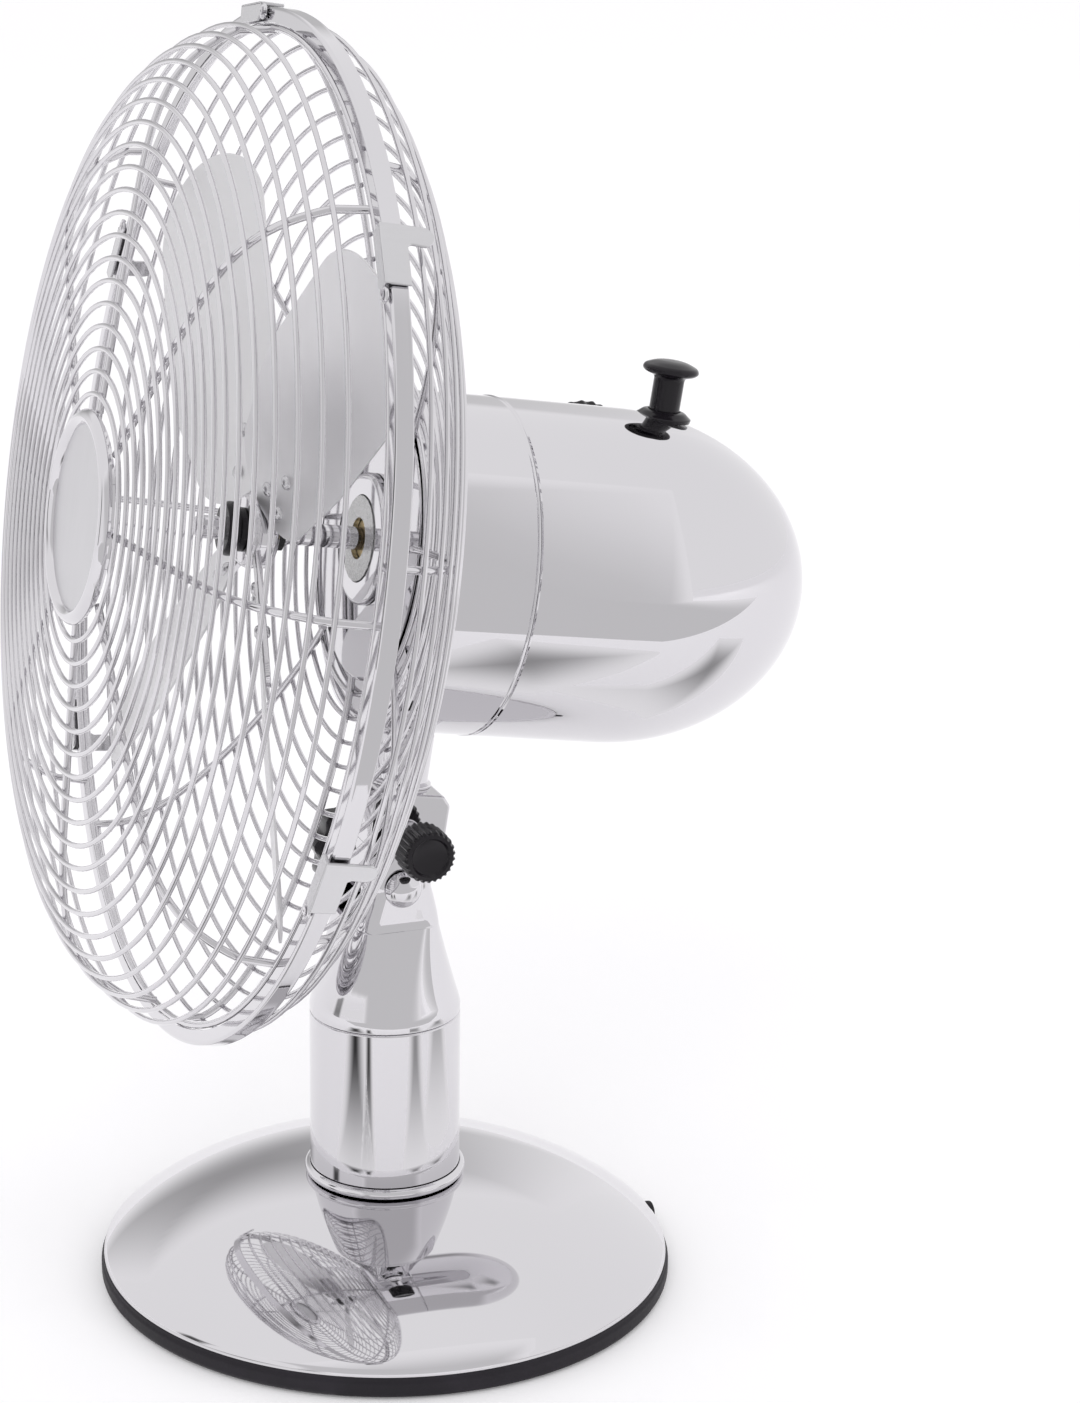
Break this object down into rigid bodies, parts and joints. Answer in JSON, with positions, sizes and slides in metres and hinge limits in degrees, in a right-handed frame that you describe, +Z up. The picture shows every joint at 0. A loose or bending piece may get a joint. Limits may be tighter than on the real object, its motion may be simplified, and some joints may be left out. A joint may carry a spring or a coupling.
{
  "type": "desk fan",
  "caption": "Chrome table fan: domed base, column and tapered neck, tilting and swivelling motor head, wire cage in a wide hoop, satin blades, black control knobs.",
  "frame": {"origin": "middle of the base's underside, on the surface the fan stands on", "axes": "+Z up, the air leaves towards -Y, +X is on the right of somebody facing +Y (seen from behind the fan)"},
  "size_m": [0.35, 0.2755, 0.4587],
  "materials": {
    "chrome": "bright mirror plating",
    "satin_aluminium": "satin, fine brushing",
    "black_plastic": "polished moulded black",
    "black_rubber": "matte, nearly black",
    "steel": "plain machined steel",
    "cast_iron": "rough sand-cast, dark",
    "copper": "enamelled copper windings",
    "brass": "turned bearing brass",
    "nylon": "natural off-white nylon",
    "felt": "dark pressed felt"
  },
  "bodies": {
    "stand": {"base_pad": "felt", "base_cover": "steel", "base_rim": "black_rubber", "cord_gland": "black_rubber", "base_weight": "cast_iron", "base_shell": "chrome", "column_foot_ring": "chrome", "column_tube": "chrome", "neck": "chrome", "tie_rod": "steel", "tie_nut": "steel", "pivot_bolt": "chrome"},
    "bracket": {"tilt_bracket": "chrome", "friction_washer_near": "nylon", "friction_washer_far": "nylon", "swivel_post": "chrome"},
    "tilt_knob": {"tilt_knob": "black_plastic"},
    "lock_knob": {"lock_screw": "chrome", "lock_knob": "black_plastic"},
    "head": {"front_drum": "chrome", "rear_shell": "chrome", "motor_plate": "steel", "front_bearing": "brass", "stator_core": "steel", "winding_front": "copper", "winding_rear": "copper", "motor_end_plate": "steel", "rear_bearing": "brass", "gearbox": "cast_iron", "capacitor": "black_plastic", "swivel_sleeve": "brass", "pull_collar": "black_plastic", "speed_switch": "nylon", "front_guard": "chrome", "rear_guard": "chrome", "guard_hoop": "chrome", "guard_nut": "chrome", "badge_ring": "chrome", "badge_disc": "satin_aluminium"},
    "rotor": {"shaft": "steel", "rotor_core": "steel", "thrust_collar": "black_plastic", "spinner_nut": "chrome", "hub": "steel", "blade_1": "satin_aluminium", "blade_2": "satin_aluminium", "blade_3": "satin_aluminium", "blade_4": "satin_aluminium"},
    "first_gear": {"first_gear": "nylon"},
    "crank_gear": {"crank_gear": "nylon"},
    "swing_link": {"swing_link": "steel"},
    "pull_knob": {"pull_knob": "black_plastic"},
    "speed_knob": {"speed_knob": "black_plastic"},
    "clip_1": {"guard_clip_1": "chrome"},
    "clip_2": {"guard_clip_2": "chrome"},
    "clip_3": {"guard_clip_3": "chrome"},
    "clip_4": {"guard_clip_4": "chrome"},
    "clip_5": {"guard_clip_5": "chrome"}
  },
  "joints": [
    {"name": "head_tilt", "type": "hinge", "parent": "stand", "child": "bracket", "pos_m": [0, 0, 0.153], "axis": [1, 0, 0], "range_deg": [-16, 24]},
    {"name": "head_swivel", "type": "hinge", "parent": "bracket", "child": "head", "pos_m": [0, 0, 0.153], "axis": [0, 0.1564, 0.9877], "range_deg": [-40, 40]},
    {"name": "blade_spin", "type": "hinge", "parent": "head", "child": "rotor", "pos_m": [0, -0.04642, 0.28185], "axis": [0, 0.9877, -0.1564], "continuous": true},
    {"name": "first_gear_spin", "type": "hinge", "parent": "head", "child": "first_gear", "pos_m": [0, 0.07222, 0.25101], "axis": [1, 0, 0], "continuous": true},
    {"name": "crank_spin", "type": "hinge", "parent": "head", "child": "crank_gear", "pos_m": [0, 0.09235, 0.24063], "axis": [0, 0.1564, 0.9877], "continuous": true},
    {"name": "link_pivot", "type": "hinge", "parent": "crank_gear", "child": "swing_link", "pos_m": [0, 0.082, 0.21367], "axis": [0, 0.1564, 0.9877], "continuous": true},
    {"name": "pull_slide", "type": "slide", "parent": "head", "child": "pull_knob", "axis": [0, -0.1564, -0.9877], "range_m": [0, 0.006]},
    {"name": "speed_turn", "type": "hinge", "parent": "head", "child": "speed_knob", "pos_m": [0, 0.08591, 0.25431], "axis": [-0.788, 0.0963, 0.6081], "range_deg": [0, 120]},
    {"name": "tilt_knob_turn", "type": "hinge", "parent": "stand", "child": "tilt_knob", "pos_m": [0, 0, 0.153], "axis": [1, 0, 0], "range_deg": [0, 360]},
    {"name": "lock_knob_turn", "type": "hinge", "parent": "bracket", "child": "lock_knob", "pos_m": [0, 0.00289, 0.17127], "axis": [1, 0, 0], "range_deg": [0, 360]},
    {"name": "clip_1_open", "type": "hinge", "parent": "head", "child": "clip_1", "pos_m": [-0.01831, -0.03646, 0.4556], "axis": [0, 0.9877, -0.1564], "range_deg": [0, 70]},
    {"name": "clip_2_open", "type": "hinge", "parent": "head", "child": "clip_2", "pos_m": [0.139, -0.04714, 0.38816], "axis": [0, 0.9877, -0.1564], "range_deg": [0, 70]},
    {"name": "clip_3_open", "type": "hinge", "parent": "head", "child": "clip_3", "pos_m": [0.15235, -0.07674, 0.20128], "axis": [0, 0.9877, -0.1564], "range_deg": [0, 70]},
    {"name": "clip_4_open", "type": "hinge", "parent": "head", "child": "clip_4", "pos_m": [-0.14258, -0.07919, 0.18582], "axis": [0, 0.9877, -0.1564], "range_deg": [0, 70]},
    {"name": "clip_5_open", "type": "hinge", "parent": "head", "child": "clip_5", "pos_m": [-0.1552, -0.0512, 0.36254], "axis": [0, 0.9877, -0.1564], "range_deg": [0, 70]}
  ],
  "couplings": [
    {"joint": "first_gear_spin", "follows": "blade_spin", "ratio": 0.1},
    {"joint": "crank_spin", "follows": "blade_spin", "ratio": 0.008333},
    {"joint": "link_pivot", "follows": "blade_spin", "ratio": -0.008333}
  ]
}
